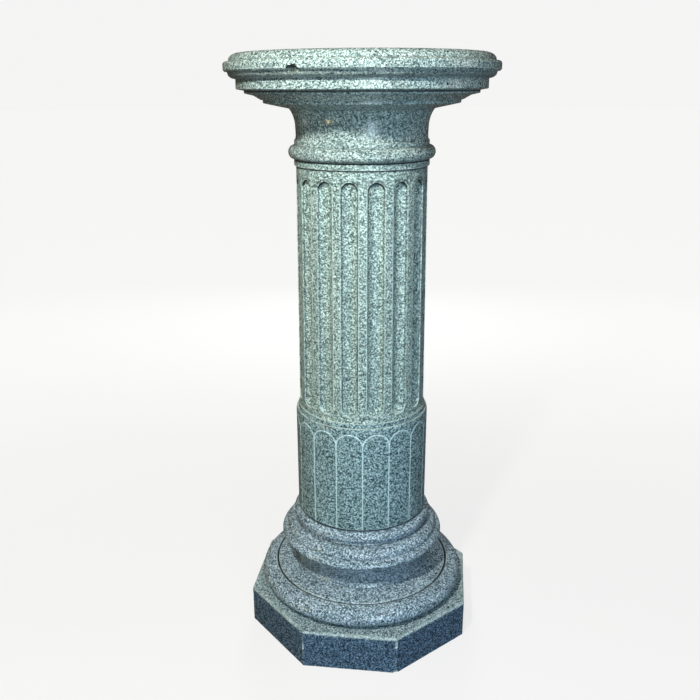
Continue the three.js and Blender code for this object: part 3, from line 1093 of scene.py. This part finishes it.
def finish_plinth(piece):
    piece.data.materials.append(shaded_plinth_marble)
    piece.data.materials.append(plinth_top_marble)
    for face in piece.data.polygons:
        face.material_index = 1 if face.normal.z > TOP_FACING else 0
    cut(piece, [chip_cutter(*chip) for chip in plinth_chips])
    write_attribute(piece, "wear_and_shade", plinth_wear)
    finish_stone(piece, "octagonal_plinth")


finish_plinth(plinth_stone)

# %% [markdown]
# ## The floor and the light
# The column stands on a plain pale floor inside a plain white backdrop, as in a photographer's tent. Both
# glow and keep their glow to themselves, so that only the lamps shape the stone. The backdrop glows evenly.
# The floor's glow is painted light that rises with the distance from the column: near the column the lamps
# light the floor, and further out its own glow takes over. If the backdrop lit the stone as well, the shade
# in its hollows would be lost.

# %% The floor and the backdrop
BACKDROP_COLOUR = (0.91, 0.91, 0.905, 1)
BACKDROP_RADIUS = 39
STAGE_ROUGHNESS = 0.8
FLOOR_SIZE = 80
FLOOR_DROP = 0.2 * MM
FLOOR_DIFFUSE = 0.15
FLOOR_GLOW = {"From Min": 0.3, "From Max": 2.6, "To Min": 0.84, "To Max": 1.0}


def glowing(name, diffuse):
    """A matt material with its own glow, and so much grey that the lamps light."""
    material = bpy.data.materials.new(name)
    material.use_nodes = True
    shader = material.node_tree.nodes["Principled BSDF"]
    shader.inputs["Base Color"].default_value = (diffuse, diffuse, diffuse, 1)
    shader.inputs["Roughness"].default_value = STAGE_ROUGHNESS
    shader.inputs["Specular IOR Level"].default_value = 0
    shader.inputs["Emission Color"].default_value = BACKDROP_COLOUR
    shader.inputs["Emission Strength"].default_value = 1
    return material


def floor_material():
    """The floor's glow rises with the distance from the column, as FLOOR_GLOW says."""
    material = glowing("pale floor", FLOOR_DIFFUSE)
    tree = material.node_tree
    place = add_node(tree, "ShaderNodeTexCoord").outputs["Object"]
    reach = add_node(tree, "ShaderNodeVectorMath", {0: place}, operation="LENGTH").outputs["Value"]
    glow = add_node(tree, "ShaderNodeMapRange", {"Value": reach, **FLOOR_GLOW},
                    interpolation_type="SMOOTHSTEP")
    tree.links.new(glow.outputs["Result"], tree.nodes["Principled BSDF"].inputs["Emission Strength"])
    return material


def set_stage(stage, name, material):
    """Names a part of the stage, and keeps its glow off the stone."""
    stage.name = name
    stage.data.materials.append(material)
    stage.visible_diffuse = False
    stage.visible_glossy = False


start_clean()
bpy.ops.mesh.primitive_plane_add(size=FLOOR_SIZE, location=(0, 0, -FLOOR_DROP))
set_stage(bpy.context.object, "floor", floor_material())
start_clean()
bpy.ops.mesh.primitive_uv_sphere_add(segments=48, ring_count=24, radius=BACKDROP_RADIUS)
bpy.context.object.visible_shadow = False
set_stage(bpy.context.object, "backdrop", glowing("backdrop", 0))
print("stage:", FLOOR_SIZE, "m of floor in a dome of", BACKDROP_RADIUS, "m")

# %% [markdown]
# The lamps follow the photograph. A small main lamp hangs high and a little to the left, so the slab throws
# its shadow onto the neck, and the flutes' heads are dark. Big cool fills from the front and the right
# lighten the shade. Small lamps low down and at the sides are there for their reflections in the polish, and
# a big one behind shapes the back. The main lamp's own mirror image would be a hard white spot, so it isn't
# mirrored.

# %% The lamps
def lamp(name, place, aim, size, power, colour=(1, 1, 1), mirrored=True):
    """A round lamp at a place (bearing from the front, reach, height), aimed at a height on the axis."""
    data = bpy.data.lights.new(name, "AREA")
    data.shape = "DISK"
    data.size = size
    data.energy = power
    data.color = colour
    light = bpy.data.objects.new(name, data)
    bpy.context.collection.objects.link(light)
    degrees_from_front, reach, height = place
    angle = bearing(degrees_from_front)
    light.location = (reach * math.cos(angle), reach * math.sin(angle), height)
    light.rotation_euler = (Vector((0, 0, aim)) - light.location).to_track_quat("-Z", "Y").to_euler()
    light.visible_glossy = mirrored
    return light


lamp("main lamp", (-19, 0.95, 1.48), aim=0.7, size=0.1, power=18, colour=(1.0, 0.97, 0.90), mirrored=False)
lamp("front fill", (5, 1.8, 0.9), aim=0.55, size=0.5, power=5.6, colour=(0.8, 1.0, 0.98))
lamp("low front fill", (-5, 1.8, 0.35), aim=0.1, size=0.4, power=5, colour=(0.2, 0.45, 1.0), mirrored=False)
lamp("right lamp", (35, 0.9, 1.45), aim=0.95, size=0.2, power=1.2, colour=(1.0, 0.85, 0.85))
lamp("right fill", (50, 1.6, 1.0), aim=0.55, size=0.6, power=1.2, colour=(0.25, 0.65, 1.0))
lamp("gleam on the right", (87, 2.4, 1.12), aim=1.0, size=0.3, power=2.5, colour=(0.9, 0.95, 1.0))
lamp("warm lamp on the left", (-92, 1.6, 2.4), aim=0.9, size=0.3, power=1.7, colour=(1.0, 0.85, 0.5))
lamp("warm gleam low down", (-59, 1.4, 0.3), aim=0.1, size=0.16, power=2.4, colour=(1.0, 0.8, 0.3))
lamp("gleam behind the left", (-113, 2.0, 0.4), aim=0.1, size=0.3, power=0.7)
tall_gleam = lamp("tall gleam", (17, 1.5, 0.5), aim=0.55, size=0.14, power=6, colour=(0.65, 0.85, 1.0))
tall_gleam.data.shape = "RECTANGLE"
tall_gleam.data.size_y = 0.7
lamp("back lamp", (180, 2.2, 1.3), aim=0.55, size=0.8, power=30, mirrored=False)
print("lamps:", {light.name: round(light.energy, 2) for light in bpy.data.lights})

# %% A faint light from all around
AMBIENT_COLOUR = (1.0, 0.8, 0.62, 1)
AMBIENT_STRENGTH = 0.07
world = bpy.data.worlds.new("ambient")
world.use_nodes = True
ambient = world.node_tree.nodes["Background"]
ambient.inputs["Color"].default_value = AMBIENT_COLOUR
ambient.inputs["Strength"].default_value = AMBIENT_STRENGTH
bpy.context.scene.world = world
bpy.context.scene.view_settings.view_transform = "Standard"

# %% [markdown]
# ## The camera
# The photograph was taken from a standing height, 1.32 m from the axis, looking down at 18.8 degrees. The
# place, the tilt and the lens come from matching the plinth's corners and the ellipses of the mouldings.

# %% The camera
CAMERA_REACH = 1.3193
CAMERA_HEIGHT = 0.9781
CAMERA_PITCH = 18.76
CAMERA_YAW = -0.91
CAMERA_ROLL = -0.24
CAMERA_LENS = 39.95
SENSOR_WIDTH = 36


def photograph_camera():
    data = bpy.data.cameras.new("camera")
    data.lens = CAMERA_LENS
    data.sensor_width = SENSOR_WIDTH
    camera = bpy.data.objects.new("camera", data)
    bpy.context.collection.objects.link(camera)
    side = Matrix.Rotation(math.radians(CAMERA_SIDE), 4, "Z")
    place = Matrix.Translation((0, -CAMERA_REACH, CAMERA_HEIGHT))
    yaw = Matrix.Rotation(math.radians(-CAMERA_YAW), 4, "Z")
    pitch_down = Matrix.Rotation(math.radians(90 - CAMERA_PITCH), 4, "X")
    roll = Matrix.Rotation(math.radians(CAMERA_ROLL), 4, "Z")
    camera.matrix_world = side @ place @ yaw @ pitch_down @ roll
    bpy.context.scene.camera = camera
    print("camera at", [round(value, 4) for value in camera.matrix_world.translation])


photograph_camera()
